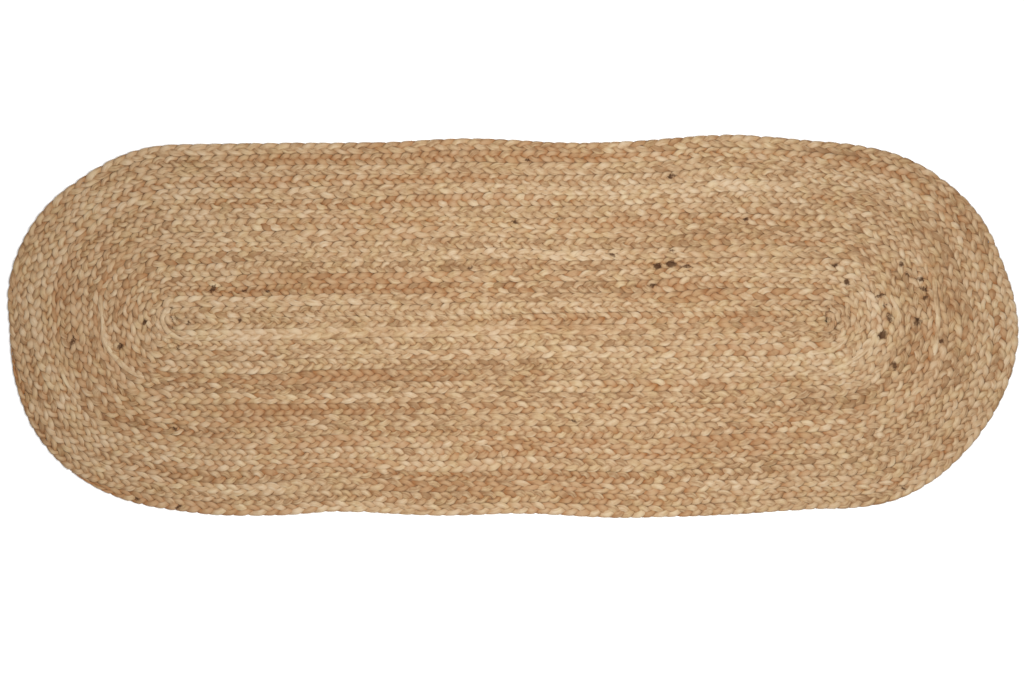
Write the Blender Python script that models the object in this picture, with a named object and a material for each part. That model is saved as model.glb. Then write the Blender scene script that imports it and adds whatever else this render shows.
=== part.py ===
"""A long oval rug, coiled flat from two three-strand jute braids laid side by side.

Both braids start at the right end of a straight core run and wind outwards together, clockwise
seen from above, so each lap of the pair adds two rows. The rows are raised as ribs in the top
face, the underside is flat, and the edge is as uneven as on a hand-coiled rug.
Metres, +Z up, +X along the rug, origin on the underside at the middle of the rug.
"""

import math

import bmesh
import bpy
from mathutils import Vector

# The core line, round which the rows are coiled. The core run starts half a row above its right
# end and turns back half a row below its left end.
CORE_LEFT = Vector((-0.5360, 0.0119))
CORE_RIGHT = Vector((0.4967, 0.0086))

# One row of braid: its crown, the seam beside it, and where in its width the crown is flat.
CROWN_HEIGHT = 0.0090
SEAM_HEIGHT = 0.0062
CROWN_FROM = 0.26
CROWN_TO = 0.74

# The edge is widest at this height, and the underside starts this far inside it.
EDGE_HEIGHT = 0.0040
UNDERSIDE_INSET = 0.0030

# Rows between the core line and the edge where a lap begins, and the rows that a lap adds.
ROWS_AT_LAP_START = 18
ROWS_PER_LAP = 2

# The stretches of a lap, clockwise from below the core's left end, and their steps.
STRETCH_STEPS = {"left_end": 22, "top_side": 18, "right_end": 22, "bottom_side": 18}
STRETCHES = tuple(STRETCH_STEPS)
LAP = len(STRETCHES)

# Distance from the core line to the rug's edge, at shares of each stretch.
EDGE_REACH = (
    # stretch, share of it, reach
    ("left_end", 0.00, 0.3035),
    ("left_end", 0.04, 0.2998),
    ("left_end", 0.18, 0.2940),
    ("left_end", 0.28, 0.2855),
    ("left_end", 0.37, 0.2735),
    ("left_end", 0.48, 0.2630),
    ("left_end", 0.56, 0.2692),
    ("left_end", 0.70, 0.2710),
    ("left_end", 0.82, 0.2675),
    ("left_end", 0.94, 0.2732),
    ("top_side", 0.14, 0.2778),
    ("top_side", 0.32, 0.2800),
    ("top_side", 0.45, 0.2862),
    ("top_side", 0.61, 0.2806),
    ("top_side", 0.72, 0.2843),
    ("top_side", 0.85, 0.2934),
    ("right_end", 0.03, 0.2815),
    ("right_end", 0.18, 0.2882),
    ("right_end", 0.32, 0.2942),
    ("right_end", 0.40, 0.2938),
    ("right_end", 0.53, 0.3047),
    ("right_end", 0.72, 0.3026),
    ("right_end", 0.87, 0.3048),
    ("bottom_side", 0.00, 0.2978),
    ("bottom_side", 0.14, 0.3066),
    ("bottom_side", 0.31, 0.3130),
    ("bottom_side", 0.46, 0.3070),
    ("bottom_side", 0.60, 0.3104),
    ("bottom_side", 0.75, 0.3050),
    ("bottom_side", 0.84, 0.3112),
    ("bottom_side", 0.93, 0.3112),
)

# Where the two braids run out: each end narrows to nothing over this share of a stretch.
TAILS = (
    # stretch, share where it starts to narrow, share where it ends
    ("left_end", 0.06, 0.20),
    ("left_end", 0.32, 0.46),
)

# A rib line less than this many rows from the edge is drawn on the edge.
EDGE_SNAP_ROWS = 0.12

WELD_DISTANCE = 1e-6
SHARP_EDGE_ANGLE = math.radians(50)
JUTE_COLOUR = (0.52, 0.36, 0.19, 1.0)
JUTE_ROUGHNESS = 0.9


def lap_place(stretch, share):
    """Place along the lap, from 0 where it begins to LAP where it is back there."""
    return STRETCHES.index(stretch) + share


REACH_KNOTS = [(lap_place(stretch, share), reach) for stretch, share, reach in EDGE_REACH]


def reach_knot(number):
    """A knot of the edge, counted on past the end of the table into the next lap."""
    laps, index = divmod(number, len(REACH_KNOTS))
    place, reach = REACH_KNOTS[index]
    return place + laps * LAP, reach


def edge_reach(place):
    """Distance from the core line to the edge, on a smooth closed curve through the knots."""
    place %= LAP
    number = sum(knot_place <= place for knot_place, _ in REACH_KNOTS) - 1
    before, start, end, after = (reach_knot(number + step) for step in (-1, 0, 1, 2))
    width = end[0] - start[0]
    start_slope = (end[1] - before[1]) / (end[0] - before[0]) * width
    end_slope = (after[1] - start[1]) / (after[0] - start[0]) * width
    rise = end[1] - start[1]
    t = (place - start[0]) / width
    square = 3 * rise - 2 * start_slope - end_slope
    cube = start_slope + end_slope - 2 * rise
    return start[1] + t * (start_slope + t * (square + t * cube))


def core_foot(stretch, share):
    """The point of the core line under a place of the lap, and the direction outwards there."""
    if stretch == "left_end":
        foot, half_turns = CORE_LEFT, share
    elif stretch == "top_side":
        foot, half_turns = CORE_LEFT.lerp(CORE_RIGHT, share), 1.0
    elif stretch == "right_end":
        foot, half_turns = CORE_RIGHT, 1.0 + share
    else:
        foot, half_turns = CORE_RIGHT.lerp(CORE_LEFT, share), 2.0
    angle = -(half_turns + 0.5) * math.pi
    return foot, Vector((math.cos(angle), math.sin(angle)))


def rows_gained(stretch, share):
    """Rows that a seam has moved outwards since the lap began. It moves along the sides only."""
    gained = {"left_end": 0.0, "top_side": share, "right_end": 1.0, "bottom_side": 1.0 + share}
    return gained[stretch]


def rows_to_edge(stretch, share):
    """Rows between the core line and the edge. Each tail that runs out takes one away."""
    place = lap_place(stretch, share)
    rows = ROWS_AT_LAP_START + rows_gained(stretch, share)
    for tail_stretch, narrows, ends in TAILS:
        start = lap_place(tail_stretch, narrows)
        end = lap_place(tail_stretch, ends)
        rows -= min(max((place - start) / (end - start), 0.0), 1.0)
    return rows


def rib_height(share_of_row):
    """Height of the top face across one row, from a seam up to the crown and down again."""
    share_of_row %= 1.0
    up = share_of_row / CROWN_FROM
    down = (1.0 - share_of_row) / (1.0 - CROWN_TO)
    return SEAM_HEIGHT + (CROWN_HEIGHT - SEAM_HEIGHT) * min(up, down, 1.0)


def rib_lines():
    """The lines drawn along the ribs, in rows outwards from the seam that starts the lap."""
    lines = []
    for row in range(-ROWS_PER_LAP, ROWS_AT_LAP_START):
        lines += [row, row + CROWN_FROM, row + CROWN_TO]
    return lines + [ROWS_AT_LAP_START]


def column_points(stretch, share):
    """The top face's points from the core line out to the edge, at one place of the lap."""
    foot, out = core_foot(stretch, share)
    reach = edge_reach(lap_place(stretch, share))
    gained = rows_gained(stretch, share)
    most_rows = rows_to_edge(stretch, share)
    points = []
    for line in rib_lines():
        rows = max(line + gained, 0.0)
        if rows > most_rows - EDGE_SNAP_ROWS:
            point = foot + out * reach
            points.append(point.to_3d() + Vector((0, 0, EDGE_HEIGHT)))
        else:
            point = foot + out * (reach * rows / most_rows)
            points.append(point.to_3d() + Vector((0, 0, rib_height(rows - gained))))
    return points


def underside_point(stretch, share):
    foot, out = core_foot(stretch, share)
    reach = edge_reach(lap_place(stretch, share)) - UNDERSIDE_INSET
    return (foot + out * reach).to_3d()


def lap_stations():
    """Every place where the rug is drawn, once round, as a stretch and a share of it."""
    stations = []
    for stretch, steps in STRETCH_STEPS.items():
        stations += [(stretch, step / steps) for step in range(steps)]
    return stations


def rug_mesh():
    """One closed body: a ribbed top, a rim under the edge and a flat underside."""
    stations = lap_stations()
    shape = bmesh.new()
    columns = []
    for station in stations + [(STRETCHES[-1], 1.0)]:
        columns.append([shape.verts.new(point) for point in column_points(*station)])
    for near, far in zip(columns, columns[1:]):
        for line in range(len(near) - 1):
            shape.faces.new((near[line], far[line], far[line + 1], near[line + 1]))

    feet = [shape.verts.new(underside_point(*station)) for station in stations]
    feet_on = feet[1:] + feet[:1]
    for near, far, foot, foot_on in zip(columns, columns[1:], feet, feet_on):
        shape.faces.new((near[-1], far[-1], foot_on, foot))
    shape.faces.new(feet)

    bmesh.ops.remove_doubles(shape, verts=shape.verts, dist=WELD_DISTANCE)
    mesh = bpy.data.meshes.new("braided_rug")
    shape.to_mesh(mesh)
    shape.free()
    return mesh


def jute_material():
    material = bpy.data.materials.new("jute")
    material.use_nodes = True
    surface = material.node_tree.nodes["Principled BSDF"]
    surface.inputs["Base Color"].default_value = JUTE_COLOUR
    surface.inputs["Roughness"].default_value = JUTE_ROUGHNESS
    surface.inputs["Metallic"].default_value = 0.0
    return material


def clear_scene():
    for thing in list(bpy.data.objects):
        bpy.data.objects.remove(thing, do_unlink=True)


def build_rug():
    clear_scene()
    mesh = rug_mesh()
    mesh.materials.append(jute_material())
    mesh.shade_smooth()
    mesh.set_sharp_from_angle(angle=SHARP_EDGE_ANGLE)
    rug = bpy.data.objects.new("braided_rug", mesh)
    bpy.context.scene.collection.objects.link(rug)


build_rug()
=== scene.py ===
import math

import bpy
import numpy as np
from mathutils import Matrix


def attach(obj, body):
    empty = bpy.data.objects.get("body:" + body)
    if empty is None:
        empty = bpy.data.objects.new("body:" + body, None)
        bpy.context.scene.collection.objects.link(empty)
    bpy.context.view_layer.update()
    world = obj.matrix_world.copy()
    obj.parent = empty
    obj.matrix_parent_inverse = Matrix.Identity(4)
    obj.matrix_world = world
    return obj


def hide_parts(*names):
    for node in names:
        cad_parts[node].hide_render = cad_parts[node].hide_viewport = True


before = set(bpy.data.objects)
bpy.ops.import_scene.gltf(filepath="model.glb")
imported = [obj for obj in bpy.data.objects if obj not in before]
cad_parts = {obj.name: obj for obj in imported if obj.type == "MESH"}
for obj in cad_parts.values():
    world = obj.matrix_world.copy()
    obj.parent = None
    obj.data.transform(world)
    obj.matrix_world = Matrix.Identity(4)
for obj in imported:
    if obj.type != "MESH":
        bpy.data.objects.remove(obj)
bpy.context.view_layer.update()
mm = 0.001
print("frame loaded")

# How the rows lie, the same as in the CAD solid: two braids side by side, coiled clockwise
# seen from above round a straight core run.
coil = {
    "coreLeft": (-0.5360, 0.0119),
    "coreRight": (0.4967, 0.0086),
    "rowsAtLapStart": 18,
    "edgeReach": (
        # stretch, share of it, metres from the core line to the edge
        ("leftEnd", 0.00, 0.3035),
        ("leftEnd", 0.04, 0.2998),
        ("leftEnd", 0.18, 0.2940),
        ("leftEnd", 0.28, 0.2855),
        ("leftEnd", 0.37, 0.2735),
        ("leftEnd", 0.48, 0.2630),
        ("leftEnd", 0.56, 0.2692),
        ("leftEnd", 0.70, 0.2710),
        ("leftEnd", 0.82, 0.2675),
        ("leftEnd", 0.94, 0.2732),
        ("topSide", 0.14, 0.2778),
        ("topSide", 0.32, 0.2800),
        ("topSide", 0.45, 0.2862),
        ("topSide", 0.61, 0.2806),
        ("topSide", 0.72, 0.2843),
        ("topSide", 0.85, 0.2934),
        ("rightEnd", 0.03, 0.2815),
        ("rightEnd", 0.18, 0.2882),
        ("rightEnd", 0.32, 0.2942),
        ("rightEnd", 0.40, 0.2938),
        ("rightEnd", 0.53, 0.3047),
        ("rightEnd", 0.72, 0.3026),
        ("rightEnd", 0.87, 0.3048),
        ("bottomSide", 0.00, 0.2978),
        ("bottomSide", 0.14, 0.3066),
        ("bottomSide", 0.31, 0.3130),
        ("bottomSide", 0.46, 0.3070),
        ("bottomSide", 0.60, 0.3104),
        ("bottomSide", 0.75, 0.3050),
        ("bottomSide", 0.84, 0.3112),
        ("bottomSide", 0.93, 0.3112),
    ),
    "looseTail": (0.06, 0.20),  # shares of the left end over which each braid narrows to its end
    "tightTail": (0.32, 0.46),
    "tailWidth": 0.12,  # width of a braid at its very end, in rows
    "startWidth": 0.92,  # the same at its start, from where it widens to a full row
    "startTaper": 100 * mm,
    "rowWander": 0.13,  # how far a row strays sideways, in rows
    "rowWaves": ((3, 0.4), (7, 0.4), (12, 0.35), (19, 0.3), (31, 0.2), (47, 0.12)),  # in a lap, size
    "thickness": 9.0 * mm,
    "rowWidth": 17.0 * mm,
    "stations": 2500,  # points worked out along each stretch of a lap
    "stationStep": 0.5 * mm,  # and how far apart they are kept along the braid
}

stretchNames = ("leftEnd", "topSide", "rightEnd", "bottomSide")
knotPlace = np.array([stretchNames.index(name) + share for name, share, _ in coil["edgeReach"]])
knotReach = np.array([reach for _, _, reach in coil["edgeReach"]])


def smoothStep(t, start, end, slopeA, slopeB):
    # smooth curve from start to end that leaves and arrives with these slopes
    rise = end - start
    square, cube = 3 * rise - 2 * slopeA - slopeB, slopeA + slopeB - 2 * rise
    return start + t * (slopeA + t * (square + t * cube))


def throughPoints(t, points):
    # smooth curve between the middle two of four evenly spaced points
    before, start, end, after = points
    return smoothStep(t, start, end, (end - before) / 2, (after - start) / 2)


def smoothNoise(x, seed, scale):
    # a smooth random line through one random value per scale, about -1 to 1
    rng = np.random.default_rng(seed)
    values = rng.uniform(-1, 1, int(np.max(x) / scale) + 5)
    at = x / scale
    left = np.floor(at).astype(int)
    return throughPoints(at - left, [values[(left + step) % len(values)] for step in range(4)])


def layeredNoise(x, seed, layers):
    # each layer gives its share, its own seed counted from this one, and its scale
    return sum(share * smoothNoise(x, seed + shift, scale) for share, shift, scale in layers)


def edgeReach(place):
    # smooth closed curve through the knots
    place = place % 4
    count = len(knotPlace)
    index = np.searchsorted(knotPlace, place, side="right") - 1

    def knot(number):
        return knotPlace[number % count] + 4 * (number // count), knotReach[number % count]

    before, start, end, after = (knot(index + step) for step in (-1, 0, 1, 2))
    width = end[0] - start[0]
    slopeA = (end[1] - before[1]) / (end[0] - before[0]) * width
    slopeB = (after[1] - start[1]) / (after[0] - start[0]) * width
    return smoothStep((place - start[0]) / width, start[1], end[1], slopeA, slopeB)


def rowsGained(place):
    # seams move outwards along the sides only
    place = place % 4
    return np.select([place < 1, place < 2, place < 3], [0.0, place - 1, 1.0], place - 2)


def tailShare(place, tail):
    return np.clip((place - tail[0]) / (tail[1] - tail[0]), 0, 1)


def rowsToEdge(place):
    rows = coil["rowsAtLapStart"] + rowsGained(place)
    return rows - tailShare(place % 4, coil["looseTail"]) - tailShare(place % 4, coil["tightTail"])


def rowStray(place, rows):
    # rows stray a little sideways, and neighbours stray together; none at the edge or the core
    rng = np.random.default_rng(5)
    total = np.zeros_like(rows)
    for waves, size in coil["rowWaves"]:
        across = rng.uniform(0.06, 0.34)
        turns = waves * (place % 4) / 4 + across * rows + rng.uniform(0, 1)
        total += size * np.sin(2 * math.pi * turns)
    inside = np.clip((rowsToEdge(place) - rows) / 1.5, 0, 1) * np.clip(rows / 1.5, 0, 1)
    return coil["rowWander"] * total * inside


def lapPoint(place, rows):
    # the point that many rows out from the core line at a place of the lap
    left, right = np.array(coil["coreLeft"]), np.array(coil["coreRight"])
    rows = rows + rowStray(place, rows)
    place = place % 4
    stretch = [place < 1, place < 2, place < 3]
    angle = -(np.select(stretch, [place, 1.0, place - 1], 2.0) + 0.5) * math.pi
    along = np.select(stretch, [0.0, place - 1, 1.0], 4 - place)
    foot = left + (right - left) * along[..., None]
    out = np.stack([np.cos(angle), np.sin(angle)], -1)
    return foot + out * (edgeReach(place) * rows / rowsToEdge(place))[..., None]


def unit(vectors):
    return vectors / np.linalg.norm(vectors, axis=1)[:, None]


def pairsAt(where, along, pairs):
    # x and y at places between the points of a line
    return np.stack([np.interp(where, along, pairs[:, k]) for k in range(2)], -1)


def layBraid(look):
    # one braid's middle line from its start to its end
    start, end = look["laps"]
    place = np.linspace(start, end, int((end - start) * coil["stations"]))
    tail = tailShare(place - 4 * math.floor(end / 4), look["tail"])
    width = np.maximum(1 - tail, coil["tailWidth"])
    rows = 2 * np.floor(place / 4) + rowsGained(place) + look["rowOffset"] - tail / 2
    points = lapPoint(place, rows)
    inner, outer = lapPoint(place, rows - width / 2), lapPoint(place, rows + width / 2)
    half = np.hypot(*(outer - inner).T) / 2
    if look["coreRun"]:
        # the run along the core, from its right end to where the first lap begins
        share = np.linspace(0, 1, coil["stations"])[:-1, None]
        first = lapPoint(np.array([2.0]), np.array([0.5]))
        points = np.concatenate([first * (1 - share) + points[0] * share, points])
        half = np.concatenate([np.full(len(share), half[0]), half])
        place = np.concatenate([share[:, 0] - 1, place])
    step = np.hypot(*np.diff(points, axis=0).T)
    along = np.concatenate([[0], np.cumsum(step)])
    half = half * np.clip(coil["startWidth"] + along / coil["startTaper"], 0, 1)
    at = np.arange(0, along[-1], coil["stationStep"])
    kept = pairsAt(at, along, points)
    return {
        "along": at,
        "points": kept,
        "heading": unit(np.gradient(kept, axis=0)),
        "half": np.interp(at, along, half),
        "place": np.interp(at, along, place),
    }


# The two braids. A turn is the length in which a strand crosses the row and comes back.
looseBraid = {
    "laps": (2.0, 36.19),  # lap places where it starts and ends, four to a lap
    "rowOffset": -0.5,
    "coreRun": False,
    "tail": coil["looseTail"],
    "turn": 58.5 * mm,
    "turnChange": 0.13,
    "strandWidth": 9.6 * mm,
    "inset": 0.66,  # less for strands pressed harder against the next row
    "strandHeight": 4.2 * mm,
    "crossing": 0.08,  # 0 for strands that sway evenly, more for ones that cross the row steeply
    "lift": 2.00 * mm,
    "lateLift": -0.15,  # more for strands that are highest near the side of the row
    "edgeLift": 0.95 * mm,  # how much higher the strands lie at the sides of the row
    "paintedShadeMiddle": 0.95,  # how strongly shade is painted, brown, into the gaps along the middle of the row, and at its sides
    "paintedShadeSide": 0.72,
    "paleness": 0.055,
    "calm": (
        # from one lap place to another, strength
        (3.25, 3.98, 0.50),
        (4.02, 4.60, 0.25),
        (16.20, 16.95, 0.40),
        (22.25, 22.80, 0.40),
    ),
    "pieces": (("looseInner", 18.5), ("looseMiddle", 27.5), ("looseOuter", 99)),  # last lap place
    "seed": 100,
}
tightBraid = {
    "laps": (0.0, 32.45),
    "rowOffset": 0.5,
    "coreRun": True,
    "tail": coil["tightTail"],
    "turn": 50.8 * mm,
    "turnChange": 0.12,
    "strandWidth": 9.2 * mm,
    "inset": 0.62,
    "strandHeight": 4.2 * mm,
    "crossing": 0.12,
    "lift": 2.10 * mm,
    "lateLift": -0.15,
    "edgeLift": 1.20 * mm,
    "paintedShadeMiddle": 1.22,
    "paintedShadeSide": 0.62,
    "paleness": -0.06,
    "calm": (),
    "pieces": (("tightInner", 13.5), ("tightMiddle", 23.5), ("tightOuter", 99)),
    "seed": 200,
}
strandForm = {
    "strands": 3,
    "sides": 8,
    "squareness": 0.8,  # of a strand's section: 1 for an ellipse, less for a squarer one
    "ringShares": (-0.03, 0.025, 0.08, 0.13, 0.18, 0.225, 0.275, 0.33, 0.40),  # of half a turn
    "swell": 0.17,
    "swellLayers": ((1.0, 1, 0.06), (0.7, 2, 0.014)),
    "leastFlat": 0.4,  # a narrowed braid keeps this much of its height
    "pressedFrom": 0.88,  # strands are pressed from this share of the half row outwards
    "pressedOver": 0.34,
    "lowest": -4.4 * mm,  # from the middle of the thickness
    "highest": 4.6 * mm,
    "paintedShadeFrom": 8.4 * mm,  # painted shade, browner, starts below this height, and is full this much lower
    "paintedShadeOver": 5.2 * mm,
    "bakeColumns": 64,
    "bandsInColumn": 160,
    "bakeMargin": 0.03,
}

# How a hand-made plait strays: by how much, and over how many metres it changes.
strays = {
    "turnLength": (1.0, 0.30),
    "braidPhase": (0.50, 0.055),  # radians
    "strandPhase": (0.30, 0.03),
    "height": (0.07, 0.03),
    "sideways": (0.35 * mm, 0.02),
    "lift": (0.12, 0.02),
}

# The jute's tone and rust along the strands, in layers: share, seed and metres.
strandColour = {
    "tone": ((0.32, 6, 0.55), (0.30, 7, 0.11), (0.38, 8, 0.027)),
    "braidTone": ((0.34, 3, 0.40),),  # the same for the three strands of a braid
    "calmTone": 0.25,  # paler where the braid lies smooth
    "rust": ((1.0, 9, 0.16), (0.5, 15, 0.027)),
    "braidRust": ((0.9, 4, 0.5),),
    "rustFrom": 0.25,
    "rustGain": 1.3,
}

# Redder jute, by place on the rug.
rustPatches = {
    "reach": 1.4,  # a patch fades to nothing at this many times its half size
    "places": (
        # x and y in metres, half its length and half its width, strength
        (-0.282, 0.168, 0.130, 0.008, 0.55),
        (0.066, 0.002, 0.070, 0.009, 0.60),
        (-0.615, -0.054, 0.030, 0.040, 0.55),
        (-0.015, 0.098, 0.022, 0.007, 0.70),
        (0.074, 0.168, 0.030, 0.009, 0.60),
        (0.473, 0.103, 0.022, 0.007, 0.70),
        (0.443, 0.033, 0.012, 0.009, 0.70),
        (0.575, 0.006, 0.006, 0.013, 1.00),
        (0.700, 0.040, 0.018, 0.030, 0.60),
        (0.652, 0.050, 0.010, 0.024, 0.80),
        (0.590, 0.004, 0.010, 0.030, 0.60),
        (0.345, 0.168, 0.110, 0.008, 0.50),
        (0.235, 0.096, 0.060, 0.009, 0.60),
        (-0.150, -0.120, 0.050, 0.008, 0.45),
        (0.260, -0.210, 0.060, 0.009, 0.45),
        (-0.420, 0.225, 0.050, 0.009, 0.45),
        (-0.670, 0.000, 0.170, 0.320, 0.38),
        (0.690, 0.000, 0.120, 0.300, 0.25),
    ),
}

# Dark bits of bark left on the fibre, by place on the rug.
barkBits = {
    "colour": (0.060, 0.026, 0.008, 1),
    "reach": 1.6,  # bark fades to nothing at this many times its half size
    "above": 4.2 * mm,  # it lies on the top face only
    "places": (
        # x and y in metres, length and width in mm, angle in degrees, strength
        (-0.476, 0.060, 12.7, 6.3, 60, 0.98),
        (-0.427, 0.057, 9.5, 4.8, 10, 0.74),
        (-0.389, 0.055, 9.5, 4.8, 30, 0.62),
        (-0.514, 0.006, 6.3, 6.3, 0, 0.98),
        (-0.433, 0.010, 7.9, 4.8, 20, 0.74),
        (-0.584, 0.006, 9.5, 4.8, 60, 0.98),
        (-0.623, -0.032, 11.1, 6.3, 40, 0.98),
        (-0.699, -0.025, 22.2, 6.3, 80, 0.74),
        (-0.531, -0.035, 6.3, 6.3, 0, 0.74),
        (-0.068, 0.092, 11.1, 4.8, 10, 0.74),
        (0.003, 0.165, 11.1, 4.8, 0, 0.86),
        (0.074, 0.170, 11.1, 4.8, 20, 0.74),
        (0.157, 0.113, 11.1, 4.8, 150, 0.86),
        (0.252, 0.238, 11.1, 6.3, 20, 0.86),
        (0.252, 0.120, 9.5, 4.8, 0, 0.74),
        (0.221, 0.065, 11.0, 5.5, 0, 0.98),
        (0.229, 0.095, 12.0, 8.0, 10, 1.10),
        (0.250, 0.098, 15.0, 9.0, 0, 0.95),
        (0.274, 0.095, 16.0, 5.0, 0, 0.74),
        (0.367, 0.168, 11.1, 4.8, 30, 0.86),
        (0.510, 0.097, 9.5, 6.3, 20, 0.86),
        (0.529, 0.070, 9.5, 7.9, 40, 1.10),
        (0.586, -0.014, 12.7, 11.1, 40, 1.10),
        (0.597, 0.013, 14.3, 7.9, 100, 0.86),
        (0.640, 0.006, 12.7, 9.5, 80, 1.10),
        (0.604, -0.063, 6.3, 12.7, 0, 0.98),
        (0.616, 0.098, 6.3, 7.9, 0, 0.86),
        (0.624, 0.083, 5.5, 9.5, 20, 0.86),
        (0.646, 0.074, 9.5, 5.5, 0, 1.10),
        (0.652, 0.058, 11.1, 6.3, 150, 1.10),
        (0.655, 0.045, 9.5, 5.5, 20, 0.86),
        (0.680, -0.024, 9.5, 6.3, 0, 0.86),
        (0.098, -0.152, 11.1, 4.8, 0, 0.74),
        (0.023, 0.263, 9.5, 4.8, 0, 0.74),
        (-0.531, -0.287, 12.7, 4.8, 20, 0.86),
        (-0.595, -0.276, 11.1, 4.8, 160, 0.74),
        (-0.536, -0.162, 9.5, 4.8, 0, 0.74),
        (0.618, -0.257, 11.1, 4.8, 140, 0.74),
        (0.581, 0.048, 14.3, 4.8, 10, 0.86),
        (0.591, 0.033, 12.7, 4.8, 10, 0.62),
    ),
}


def sectionOf(sides, squareness=1.0, firstTurn=-0.25):
    # the outline of a strand's section, from its lowest point round
    angle = (np.arange(sides) / sides + firstTurn) * 2 * math.pi
    return [np.sign(c) * np.abs(c) ** squareness for c in (np.cos(angle), np.sin(angle))]


def ringsRound(centre, side, rise, halfWide, halfHigh, section):
    # a ring of that section round each point of a line
    wide = side[:, None] * (halfWide[:, None] * section[0])[..., None]
    tall = rise[:, None] * (halfHigh[:, None] * section[1])[..., None]
    return centre[:, None] + wide + tall


def stray(kind, s, seed):
    amount, scale = strays[kind]
    return amount * smoothNoise(s, seed, scale)


def calmAt(place, look):
    # 1 where the braid was worked so slack that it lies nearly smooth
    amount = np.zeros_like(place)
    for first, last, strength in look["calm"]:
        inside = np.minimum(place - first, last - place)
        amount = np.maximum(amount, strength * np.clip(inside / 0.08, 0, 1))
    return amount


def strandRings(s, t, half, calm, look, seed):
    # one strand in the braid's own frame: metres along it, across it and up from its middle
    fit = half / (coil["rowWidth"] / 2)
    flat = np.clip(fit, strandForm["leastFlat"], 1)
    swell = 1 + strandForm["swell"] * layeredNoise(s, seed, strandForm["swellLayers"])
    halfWide = look["strandWidth"] / 2 * swell * fit
    halfHigh = look["strandHeight"] / 2 * (1 + stray("height", s, seed + 3)) * flat
    sway = half - halfWide * look["inset"]
    across = sway * (np.sin(t) + look["crossing"] * np.sin(3 * t)) / (1 - look["crossing"])
    across += stray("sideways", s, seed + 4)
    lift = look["lift"] * (1 + stray("lift", s, seed + 5)) * flat * (1 - calm)
    high = lift * np.sin(2 * t - look["lateLift"])
    high += look["edgeLift"] * (np.sin(t) ** 2 - 0.5)
    # the section stands square to the strand
    centre = np.stack([s, across, high], 1)
    forward = unit(np.gradient(centre, axis=0))
    side = unit(np.cross(np.array([0.0, 0.0, 1.0]), forward))
    section = sectionOf(strandForm["sides"], strandForm["squareness"])
    return ringsRound(centre, side, np.cross(forward, side), halfWide, halfHigh, section)


def bendAlong(rings, half, path):
    # presses a strand against the neighbouring rows and bends it along its own row
    first, over = strandForm["pressedFrom"], strandForm["pressedOver"]
    u = rings[..., 1] / half[:, None]
    pressed = first + over * np.tanh((np.abs(u) - first) / over)
    u = np.where(np.abs(u) > first, np.sign(u) * pressed, u)
    middle = pairsAt(rings[..., 0], path["along"], path["points"])
    heading = pairsAt(rings[..., 0], path["along"], path["heading"])
    left = np.stack([-heading[..., 1], heading[..., 0]], -1)
    flatPart = middle + left * (u * half[:, None])[..., None]
    top = np.clip(rings[..., 2], strandForm["lowest"], strandForm["highest"])
    top = top + coil["thickness"] / 2
    return np.concatenate([flatPart, top[..., None]], -1), np.abs(u)


def strandLines(path, look):
    # the strands of one braid, each a third of a turn behind the last
    at, seed, count = path["along"], look["seed"], strandForm["strands"]
    turn = look["turn"] * (1 + look["turnChange"] * stray("turnLength", at, seed + 1))
    phase = np.concatenate([[0], np.cumsum(2 * math.pi * coil["stationStep"] / turn[:-1])])
    phase = phase + stray("braidPhase", at, seed + 2)
    halfTurn = np.array(strandForm["ringShares"])
    shares = np.concatenate([halfTurn, halfTurn + 0.5])
    turns = np.arange(-1, int(phase[-1] / (2 * math.pi)) + 2)
    ringTurn = (turns[:, None] + shares[None]).ravel()
    strands = []
    for number in range(count):
        seed = look["seed"] + 10 * (number + 1)
        wanted = 2 * math.pi * (ringTurn - number / count)
        keep = (wanted > phase[0]) & (wanted < phase[-1])
        s = np.interp(wanted[keep], phase, at)
        t = 2 * math.pi * ringTurn[keep] + stray("strandPhase", s, seed + 12)
        half, place = (np.interp(s, at, path[label]) for label in ("half", "place"))
        rings = strandRings(s, t, half, calmAt(place, look), look, seed)
        rings, sideways = bendAlong(rings, half, path)
        sideways = np.clip(sideways, 0, 1) ** 1.5
        strands.append(
            {
                "rings": rings,
                "s": s,
                "place": place,
                # how much shade is painted into the gaps, from the middle of the row to its sides
                "paintedShadeWeight": look["paintedShadeMiddle"] + (look["paintedShadeSide"] - look["paintedShadeMiddle"]) * sideways,
                "number": look["seed"] / 10 + number,
                "seed": seed,
            }
        )
    return strands


def barkAt(points):
    # the strength of each bit of bark on it, 0 away from it
    amount = np.zeros(len(points))
    top = points[:, 2] > barkBits["above"]
    for x, y, length, width, angle, strength in barkBits["places"]:
        near = top & (np.abs(points[:, 0] - x) < 0.03) & (np.abs(points[:, 1] - y) < 0.03)
        turn = math.radians(angle)
        dx, dy = points[near, 0] - x, points[near, 1] - y
        along = (dx * math.cos(turn) + dy * math.sin(turn)) / (length / 2 * mm)
        across = (dy * math.cos(turn) - dx * math.sin(turn)) / (width / 2 * mm)
        fade = np.clip(barkBits["reach"] - np.hypot(along, across), 0, 1)
        amount[near] = np.maximum(amount[near], strength * fade)
    return amount


def rustAt(points):
    amount = np.zeros(len(points))
    for x, y, halfLength, halfWidth, strength in rustPatches["places"]:
        gone = np.hypot((points[:, 0] - x) / halfLength, (points[:, 1] - y) / halfWidth)
        amount = np.maximum(amount, strength * np.clip(rustPatches["reach"] - gone, 0, 1))
    return amount


def depthOf(rings, share):
    # how much painted shade a point gets: 0 on the crowns of the strands to 1 well down between them,
    # and the same from below
    below = sectionOf(rings.shape[1])[1] < -0.1
    high = np.where(below, coil["thickness"] - rings[..., 2], rings[..., 2])
    depth = (strandForm["paintedShadeFrom"] - high) / strandForm["paintedShadeOver"] * share
    return np.clip(depth, 0, 1).ravel()


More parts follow.
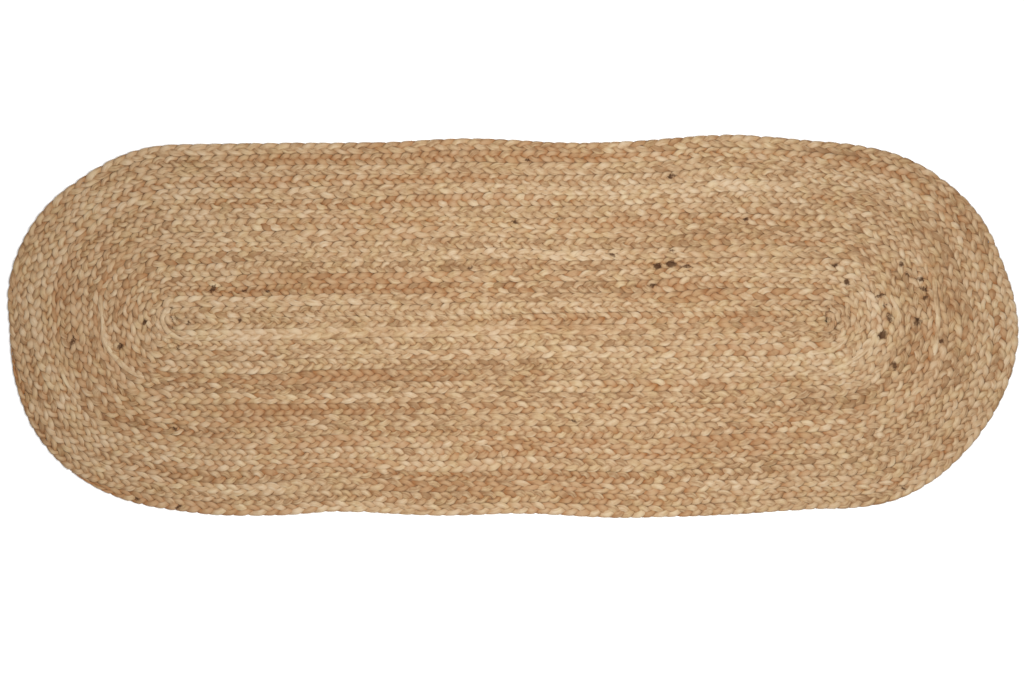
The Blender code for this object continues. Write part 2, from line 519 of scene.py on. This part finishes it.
def colourMarks(strand, look):
    # what the shader reads at each point of a strand
    s, seed, rings = strand["s"], strand["seed"], strand["rings"]
    tone = layeredNoise(s, seed, strandColour["tone"]) + look["paleness"]
    tone += layeredNoise(s, look["seed"], strandColour["braidTone"])
    tone += strandColour["calmTone"] * calmAt(strand["place"], look)
    rust = layeredNoise(s, seed, strandColour["rust"])
    rust += layeredNoise(s, look["seed"], strandColour["braidRust"])
    rust = np.clip((rust - strandColour["rustFrom"]) * strandColour["rustGain"], 0, 1)
    sides, points = rings.shape[1], rings.reshape(-1, 3)
    return {
        "tone": np.repeat(tone, sides),
        "rust": np.maximum(np.repeat(rust, sides), rustAt(points)),
        "depth": depthOf(rings, strand["paintedShadeWeight"]),
        "bark": barkAt(points),
        "strand": np.full(len(points), strand["number"]),
    }


def meshFrom(name, verts, faces, corners, attributes, maps):
    # faces is a flat list of corners, and corners the number in each face
    mesh = bpy.data.meshes.new(name)
    mesh.vertices.add(len(verts))
    mesh.vertices.foreach_set("co", verts.astype(np.float32).ravel())
    mesh.loops.add(len(faces))
    mesh.loops.foreach_set("vertex_index", faces.astype(np.int32))
    mesh.polygons.add(len(corners))
    starts = np.concatenate([[0], np.cumsum(corners)[:-1]])
    mesh.polygons.foreach_set("loop_start", starts.astype(np.int32))
    for label, values in attributes.items():
        attribute = mesh.attributes.new(label, "FLOAT", "POINT")
        attribute.data.foreach_set("value", values.astype(np.float32))
    for label, values in maps.items():
        layer = mesh.uv_layers.new(name=label)
        layer.data.foreach_set("uv", values.astype(np.float32).ravel())
    mesh.update(calc_edges=True)
    mesh.shade_smooth()
    return mesh


def tubeFaces(count, sides):
    # the corners of a tube's faces, four to a face, and then of its two closed ends
    ring, side = np.arange(count - 1)[:, None] * sides, np.arange(sides)[None]
    onwards = (side + 1) % sides
    corners = [ring + side, ring + onwards, ring + sides + onwards, ring + sides + side]
    last = (count - 1) * sides
    return np.concatenate([np.stack(corners, -1).ravel(), side[0, ::-1], last + side[0]])


def tubeMaps(count, sides, s, band):
    # strandMap is the share round the strand and the metres along it; in bakeMap each band
    # between two rings, and each end, has a place of its own, in columns
    columns, deep, margin = (strandForm[k] for k in ("bakeColumns", "bandsInColumn", "bakeMargin"))
    side = np.arange(sides)[None]
    u = np.stack([side, side + 1, side + 1, side], -1) / sides + np.zeros((count - 1, 1, 1))
    v = np.stack([s[:-1], s[:-1], s[1:], s[1:]], -1)[:, None] + np.zeros((1, sides, 1))
    endU = np.concatenate([side[0, ::-1], side[0]]) / sides
    ends = np.stack([endU, np.repeat([s[0], s[-1]], sides)], -1)
    strandMap = [np.stack([u, v], -1).reshape(-1, 2), ends]
    slot = band + np.arange(count - 1)[:, None, None]
    x = (slot // deep + margin + (1 - 2 * margin) * u) / columns
    y = (slot % deep + np.array([0, 0, 1, 1])) / deep + 0 * u
    bakeMap = [np.stack([x, y], -1).reshape(-1, 2)]
    for end, order in enumerate((-1, 1)):
        slot = band + count - 1 + end
        turn = np.arange(sides)[::order] / sides * 2 * math.pi
        x = (slot // deep + 0.5 + 0.4 * np.cos(turn)) / columns
        y = (slot % deep + 0.5 + 0.4 * np.sin(turn)) / deep
        bakeMap.append(np.stack([x, y], -1))
    return strandMap, bakeMap


def tubesMesh(name, tubes, marks):
    # joins tubes, each a stack of rings with closed ends, into one mesh
    verts, faces, corners, strandMap, bakeMap = [], [], [], [], []
    base, band = 0, 0
    for rings, s in tubes:
        count, sides = rings.shape[:2]
        verts.append(rings.reshape(-1, 3))
        faces.append(base + tubeFaces(count, sides))
        corners += [np.full((count - 1) * sides, 4), np.full(2, sides)]
        maps = tubeMaps(count, sides, s, band)
        strandMap += maps[0]
        bakeMap += maps[1]
        band += count + 1
        base += count * sides
    verts, faces, corners, strandMap, bakeMap = (
        np.concatenate(parts) for parts in (verts, faces, corners, strandMap, bakeMap)
    )
    print(name, len(faces) - 2 * len(corners), "triangles", band, "bands")
    attributes = {label: np.concatenate([mark[label] for mark in marks]) for label in marks[0]}
    maps = {"strandMap": strandMap, "OFBake": bakeMap}
    return meshFrom(name, verts, faces, corners, attributes, maps)


class Value:
    # one shader value; arithmetic on it adds Math nodes
    def __init__(self, shader, socket):
        self.shader, self.socket = shader, socket

    def math(self, operation, *others, clamp=False):
        inputs = dict(enumerate((self, *others)))
        settings = {"operation": operation, "use_clamp": clamp}
        return self.shader.node("ShaderNodeMath", settings, inputs)

    def __add__(self, other):
        return self.math("ADD", other)

    def __sub__(self, other):
        return self.math("SUBTRACT", other)

    def __rsub__(self, other):
        return self.shader.node("ShaderNodeMath", {"operation": "SUBTRACT"}, {0: other, 1: self})

    def __mul__(self, other):
        return self.math("MULTIPLY", other)

    __radd__, __rmul__ = __add__, __mul__

    def clamped(self):
        return self.math("ADD", 0.0, clamp=True)


class Shader:
    def __init__(self, name):
        self.material = bpy.data.materials.new(name)
        self.material.use_nodes = True
        self.tree = self.material.node_tree
        self.surface = self.tree.nodes["Principled BSDF"]

    def plug(self, socket, value):
        if isinstance(value, Value):
            self.tree.links.new(value.socket, socket)
        else:
            socket.default_value = value

    def node(self, kind, settings, inputs, output=0):
        made = self.tree.nodes.new(kind)
        for name, value in settings.items():
            setattr(made, name, value)
        for name, value in inputs.items():
            self.plug(made.inputs[name], value)
        return Value(self, made.outputs[output])

    def mark(self, name):
        return self.node("ShaderNodeAttribute", {"attribute_name": name}, {}, "Fac")

    def noise(self, vector, scale, detail=2.0):
        # from about -0.5 to 0.5
        inputs = {"Vector": vector, "Scale": scale, "Detail": detail, "Roughness": 0.5}
        return self.node("ShaderNodeTexNoise", {}, inputs, "Fac") - 0.5

    def mix(self, share, first, second, blend="MIX"):
        settings = {"data_type": "RGBA", "blend_type": blend}
        return self.node("ShaderNodeMix", settings, {0: share, 6: first, 7: second}, 2)

    def smooth(self, value, low, high):
        inputs = {"Value": value, "From Min": low, "From Max": high}
        return self.node("ShaderNodeMapRange", {"interpolation_type": "SMOOTHSTEP"}, inputs)


juteFibre = {
    "dark": (0.224, 0.130, 0.062, 1),
    "middle": (0.350, 0.240, 0.137, 1),
    "pale": (0.420, 0.323, 0.216, 1),
    "rust": (0.282, 0.148, 0.064, 1),
    "golden": (1.00, 1.02, 0.90, 1),  # multiplies the colour where the fibre is yellower
    "goldenShare": 0.55,
    "deep": (0.70, 0.40, 0.15, 1),  # painted shade: multiplies the colour down between the strands
    "deepShare": 0.72,
    "deepRust": 0.45,  # added to it where the jute is redder
    "fineStreaks": (26.0, 55.0),  # fibre streaks round a strand, and along a metre of it
    "broadStreaks": (6.0, 30.0),
    "speckles": 420.0,  # in a metre
    "blotches": 130.0,
    "goldenPatches": 38.0,
    "toneShare": 0.42,  # how far the strand's own tone and each noise shift it
    "fineShare": 1.0,
    "broadShare": 1.3,
    "speckleShare": 0.2,
    "blotchShare": 0.6,
    "roughness": (0.72, 0.95),
    "gloss": 0.28,
    "fibreBump": 0.35 * mm,
}


def juteMaterial(name):
    look, shader = juteFibre, Shader(name)
    mapped = shader.node("ShaderNodeUVMap", {"uv_map": "strandMap"}, {})
    aroundStrand = shader.node("ShaderNodeSeparateXYZ", {}, {0: mapped})
    alongStrand = Value(shader, aroundStrand.socket.node.outputs[1])
    strand = shader.mark("strand") * 3.7  # each strand reads another part of the noise
    strandTone, strandRust = shader.mark("tone"), shader.mark("rust")
    depth, barkMark = shader.mark("depth"), shader.mark("bark")
    place = shader.node("ShaderNodeTexCoord", {}, {}, "Object")

    def streaks(scales, shift, detail):
        inputs = {0: aroundStrand * scales[0], 1: alongStrand * scales[1], 2: strand + shift}
        return shader.noise(shader.node("ShaderNodeCombineXYZ", {}, inputs), 1.0, detail)

    fine = streaks(look["fineStreaks"], 0.0, 3.0)
    broad = streaks(look["broadStreaks"], 40.0, 2.0)
    speckle = shader.noise(place, look["speckles"])
    blotch = shader.noise(place, look["blotches"], 1.0)

    # dark, middle and pale fibre
    tone = strandTone * look["toneShare"] + broad * look["broadShare"] + fine * look["fineShare"]
    tone = tone + speckle * look["speckleShare"] + blotch * look["blotchShare"] + 0.5
    colour = shader.mix(shader.smooth(tone, 0.05, 0.55), look["dark"], look["middle"])
    colour = shader.mix(shader.smooth(tone, 0.45, 1.0), colour, look["pale"])

    # golden and rusty fibre
    golden = shader.noise(place, look["goldenPatches"]) + broad * 0.4
    golden = shader.smooth(golden, -0.06, 0.18) * look["goldenShare"]
    colour = shader.mix(golden, colour, look["golden"], "MULTIPLY")
    rust = (strandRust * 0.65 + blotch * 0.8 + broad * 0.5 - 0.16).clamped()
    colour = shader.mix(rust, colour, look["rust"])

    # ragged bits of bark, and painted shade, brown, down between the strands
    ragged = broad * 1.2 + speckle * 1.5 + depth * 0.5
    bark = shader.smooth(barkMark + ragged, 0.25, 0.95) * shader.smooth(barkMark, 0.0, 0.3) * 0.95
    colour = shader.mix(bark, colour, barkBits["colour"])
    deep = (depth * (strandRust * look["deepRust"] + look["deepShare"])).clamped()
    colour = shader.mix(deep, colour, look["deep"], "MULTIPLY")

    low, high = look["roughness"]
    rough = (fine + 0.5) * (high - low) + low + bark * 0.05
    height = fine * 0.7 + broad * 0.5 + speckle * 0.35
    bump = {"Height": height, "Distance": look["fibreBump"], "Strength": 0.8}
    surface = shader.surface.inputs
    shader.plug(surface["Base Color"], colour)
    shader.plug(surface["Roughness"], rough.clamped())
    shader.plug(surface["Normal"], shader.node("ShaderNodeBump", {}, bump))
    surface["Specular IOR Level"].default_value = look["gloss"]
    return shader.material


jute = juteMaterial("jute")


def addToScene(name, data):
    thing = bpy.data.objects.new(name, data)
    bpy.context.scene.collection.objects.link(thing)
    return thing


def addPiece(name, mesh, material):
    mesh.materials.append(material)
    piece = addToScene(name, mesh)
    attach(piece, "root")
    return piece


def buildBraid(look):
    strands = strandLines(layBraid(look), look)
    begin = -math.inf
    for name, end in look["pieces"]:
        tubes, marks = [], []
        for strand in strands:
            inside = np.nonzero((strand["place"] > begin) & (strand["place"] <= end))[0]
            first, last = max(inside[0] - 1, 0), inside[-1] + 1
            part = dict(strand)
            for label in ("rings", "s", "place", "paintedShadeWeight"):
                part[label] = strand[label][first:last]
            tubes.append((part["rings"], part["s"]))
            marks.append(colourMarks(part, look))
        addPiece(name, tubesMesh(name, tubes, marks), jute)
        begin = end


buildBraid(looseBraid)
buildBraid(tightBraid)
print("braids built")

# Strands that came loose of the plait for a while and lie smooth along the row.
smoothStrands = {
    "halfWide": 4.1 * mm,
    "halfHigh": 1.6 * mm,
    "height": 6.75 * mm,
    "sunk": 2.6 * mm,  # how far each end goes down between the other strands
    "sinkOver": 18 * mm,
    "endWidth": 0.35,  # an end's share of the full width and height
    "endHeight": 0.6,
    "sides": 10,
    "step": 2.5 * mm,
    "wobble": (1.2 * mm, 0.02),  # by how much, and over how many metres it changes
    "widthChange": (0.25, 0.015),
    "heightChange": (0.35 * mm, 0.012),
    "toneChange": (0.5, 0.02),
    "tone": 0.15,
    "runs": (
        # x and y in metres of points along each
        ((-0.541, 0.036), (-0.552, 0.024), (-0.557, 0.010), (-0.547, -0.008), (-0.528, -0.019),
         (-0.501, -0.019), (-0.462, -0.014)),
        ((-0.653, 0.060), (-0.653, 0.013), (-0.645, -0.032), (-0.614, -0.067), (-0.576, -0.087)),
        ((-0.720, -0.057), (-0.710, -0.086), (-0.691, -0.114)),
        ((0.535, 0.067), (0.550, 0.059), (0.564, 0.044)),
        ((0.542, 0.033), (0.548, 0.019), (0.548, 0.005)),
        ((0.537, -0.010), (0.518, -0.030), (0.489, -0.041), (0.451, -0.043)),
        ((0.588, 0.062), (0.599, 0.044), (0.610, 0.022), (0.611, -0.003)),
        ((0.573, 0.003), (0.570, -0.024), (0.556, -0.043), (0.531, -0.059), (0.496, -0.074),
         (0.455, -0.078)),
        ((0.667, 0.084), (0.672, 0.041), (0.673, -0.006), (0.665, -0.057)),
        ((0.403, 0.087), (0.439, 0.081), (0.476, 0.079)),
    ),
}


def curveThrough(points):
    # a smooth curve through a few points, in even steps
    points = np.array(points, float)
    first, last = 2 * points[0] - points[1], 2 * points[-1] - points[-2]
    points = np.concatenate([[first], points, [last]])
    t = np.linspace(0, 1, 60, endpoint=False)[:, None]
    parts = [throughPoints(t, points[k : k + 4]) for k in range(len(points) - 3)]
    curve = np.concatenate([*parts, points[-2:-1]])
    along = np.concatenate([[0], np.cumsum(np.hypot(*np.diff(curve, axis=0).T))])
    at = np.linspace(0, along[-1], max(int(along[-1] / smoothStrands["step"]), 4))
    return at, pairsAt(at, along, curve)


def buildSmoothStrands():
    look, tubes, marks = smoothStrands, [], []
    section = sectionOf(look["sides"])

    def change(label, s, seed):
        amount, scale = look[label]
        return amount * smoothNoise(s, seed, scale)

    for number, points in enumerate(look["runs"]):
        s, middle = curveThrough(points)
        forward = unit(np.gradient(middle, axis=0))
        side = np.stack([-forward[:, 1], forward[:, 0], 0 * s], 1)
        rise = np.broadcast_to([0.0, 0.0, 1.0], side.shape)
        full = np.clip(np.minimum(s, s[-1] - s) / look["sinkOver"], 0, 1)
        ease = full * full * (3 - 2 * full)
        halfWide = look["halfWide"] * (look["endWidth"] + (1 - look["endWidth"]) * ease)
        halfWide = halfWide * (1 + change("widthChange", s, 420 + number))
        halfHigh = look["halfHigh"] * (look["endHeight"] + (1 - look["endHeight"]) * ease)
        height = look["height"] - look["sunk"] * (1 - ease)
        height = height + change("heightChange", s, 440 + number)
        centre = np.concatenate([middle, height[:, None]], 1)
        centre = centre + side * change("wobble", s, 400 + number)[:, None]
        rings = ringsRound(centre, side, rise, halfWide, halfHigh, section)
        count = len(s) * look["sides"]
        tone = look["tone"] + change("toneChange", s, 460 + number)
        tubes.append((rings, s))
        marks.append(
            {
                "tone": np.repeat(tone, look["sides"]),
                "rust": np.zeros(count),
                "depth": depthOf(rings, 1.0),
                "bark": barkAt(rings.reshape(-1, 3)),
                "strand": np.full(count, 40.0 + number),
            }
        )
    addPiece("smoothStrands", tubesMesh("smoothStrands", tubes, marks), jute)


buildSmoothStrands()
print("smooth strands built")

# Loose single fibres that stand off the face and the edge.
strayFibres = {
    "count": 650,
    "halfWide": 0.16 * mm,
    "widths": (0.6, 1.3),  # shares of it
    "thinning": 0.6,  # how much thinner a fibre gets towards its tip
    "length": (7 * mm, 22 * mm),
    "bend": 1.5,  # radians
    "height": 8.7 * mm,
    "rise": (0.2, 1.3),  # mm
    "rows": (0.4, 17.0),  # in from the edge
    "edgeShare": 0.25,
    "edgeHeight": 4.0 * mm,
    "edgeLength": 0.6,  # share of the length of the others
    "tone": (-0.2, 0.9),
    "sides": 3,
}


def buildStrayFibres():
    look, tubes, marks = strayFibres, [], []
    rng = np.random.default_rng(77)
    section = sectionOf(look["sides"], firstTurn=0.0)
    for number in range(look["count"]):
        atEdge = rng.uniform() < look["edgeShare"]
        place = np.array([rng.uniform(0, 4)])
        rows = rowsToEdge(place) - (0.1 if atEdge else rng.uniform(*look["rows"]))
        x, y = lapPoint(place, rows)[0]
        heading, bend = rng.uniform(0, 2 * math.pi), rng.uniform(-look["bend"], look["bend"])
        length = rng.uniform(*look["length"]) * (look["edgeLength"] if atEdge else 1.0)
        s = np.linspace(0, length, 5)
        turn = heading + bend * s / length
        step = np.diff(s, prepend=0)
        dx, dy = np.cumsum(np.cos(turn) * step), np.cumsum(np.sin(turn) * step)
        rise = rng.uniform(*look["rise"]) * mm * np.sin(s / length * math.pi) - 0.5 * mm
        high = (look["edgeHeight"] if atEdge else look["height"]) + rise
        centre = np.stack([x + dx - dx[2], y + dy - dy[2], high], 1)
        side = np.stack([-np.sin(turn), np.cos(turn), 0 * s], 1)
        up = np.broadcast_to([0.0, 0.0, 1.0], side.shape)
        half = look["halfWide"] * rng.uniform(*look["widths"]) * (1 - look["thinning"] * s / length)
        rings = ringsRound(centre, side, up, half, half, section)
        tubes.append((rings, s))
        flat = np.zeros(len(s) * look["sides"])
        tone = flat + rng.uniform(*look["tone"])
        mark = {"tone": tone, "rust": flat, "depth": flat, "bark": flat, "strand": flat + number % 50}
        marks.append(mark)
    addPiece("strayFibres", tubesMesh("strayFibres", tubes, marks), jute)


buildStrayFibres()
print("stray fibres built")

# The bed between the strands: the ribbed solid made thin, which closes the gaps between strands. Its
# dark rust brown, darker than the jute, is painted shade deep in the gaps.
bedForm = {
    "raise": 3.6 * mm,
    "heightShare": 0.10,
    "widthShare": 0.988,
    # dark rust brown: painted shade for the jute deep in the gaps
    "colour": (0.240, 0.120, 0.050, 1),
    "darker": 0.55,  # the darkest of it, as a share of the colour
    "grain": 260.0,
    "grainBump": 0.4 * mm,
}


def bedMaterial(name):
    shader = Shader(name)
    grain = shader.noise(shader.node("ShaderNodeTexCoord", {}, {}, "Object"), bedForm["grain"], 3.0)
    dark = tuple(c * bedForm["darker"] for c in bedForm["colour"][:3]) + (1,)
    bump = {"Height": grain, "Distance": bedForm["grainBump"], "Strength": 0.8}
    surface = shader.surface.inputs
    shader.plug(surface["Base Color"], shader.mix(grain + 0.5, dark, bedForm["colour"]))
    shader.plug(surface["Roughness"], grain * 0.1 + 0.9)
    shader.plug(surface["Normal"], shader.node("ShaderNodeBump", {}, bump))
    return shader.material


def buildBed():
    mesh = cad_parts["braided_rug"].data.copy()
    spots = np.zeros(len(mesh.vertices) * 3, np.float32)
    mesh.vertices.foreach_get("co", spots)
    spots = spots.reshape(-1, 3)
    spots[:, 2] = bedForm["raise"] + spots[:, 2] * bedForm["heightShare"]
    spots[:, :2] *= bedForm["widthShare"]
    mesh.vertices.foreach_set("co", spots.ravel())
    mesh.materials.clear()
    mesh.materials.append(bedMaterial("bedJute"))
    bed = addToScene("bed", mesh)
    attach(bed, "root")
    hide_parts("braided_rug")


buildBed()
print("bed built")

# Floor, light and camera. The camera looks straight down.
studio = {
    "photoScale": 1.58494 * mm,  # metres for each of the picture's pixels
    "pictureWidth": 1024,
    "aim": (-0.0019, -0.0238),
    "lens": 85,
    "floorSize": 12.0,
    "floorShade": 0.97,
    "lampPlace": (0.12, -0.03, 1.45),
    "lampSize": (1.2, 1.0),
    "lampPower": 34.5,
    "skyStrength": 0.52,
}


def buildStudio():
    size, shade = studio["floorSize"], studio["floorShade"]
    mesh = bpy.data.meshes.new("floor")
    spots = [(-size, -size, 0), (size, -size, 0), (size, size, 0), (-size, size, 0)]
    mesh.from_pydata(spots, [], [(0, 1, 2, 3)])
    floorShader = Shader("floor")
    floorShader.surface.inputs["Base Color"].default_value = (shade, shade, shade, 1)
    floorShader.surface.inputs["Roughness"].default_value = 0.95
    mesh.materials.append(floorShader.material)
    floor = addToScene("floor", mesh)
    floor.location.z = -0.2 * mm

    cameraData = bpy.data.cameras.new("camera")
    cameraData.lens = studio["lens"]
    cameraData.sensor_width = 36
    camera = addToScene("camera", cameraData)
    width = studio["photoScale"] * studio["pictureWidth"]
    camera.location = (*studio["aim"], width * studio["lens"] / 36 + coil["thickness"])
    bpy.context.scene.camera = camera

    world = bpy.data.worlds.new("sky")
    bpy.context.scene.world = world
    world.use_nodes = True
    world.node_tree.nodes["Background"].inputs["Color"].default_value = (1, 1, 1, 1)
    world.node_tree.nodes["Background"].inputs["Strength"].default_value = studio["skyStrength"]

    lampData = bpy.data.lights.new("softbox", "AREA")
    lampData.shape = "RECTANGLE"
    lampData.size, lampData.size_y = studio["lampSize"]
    lampData.energy = studio["lampPower"]
    lamp = addToScene("softbox", lampData)
    lamp.location = studio["lampPlace"]
    lamp.visible_camera = False
    bpy.context.scene.view_settings.view_transform = "Standard"


buildStudio()
print("studio built")
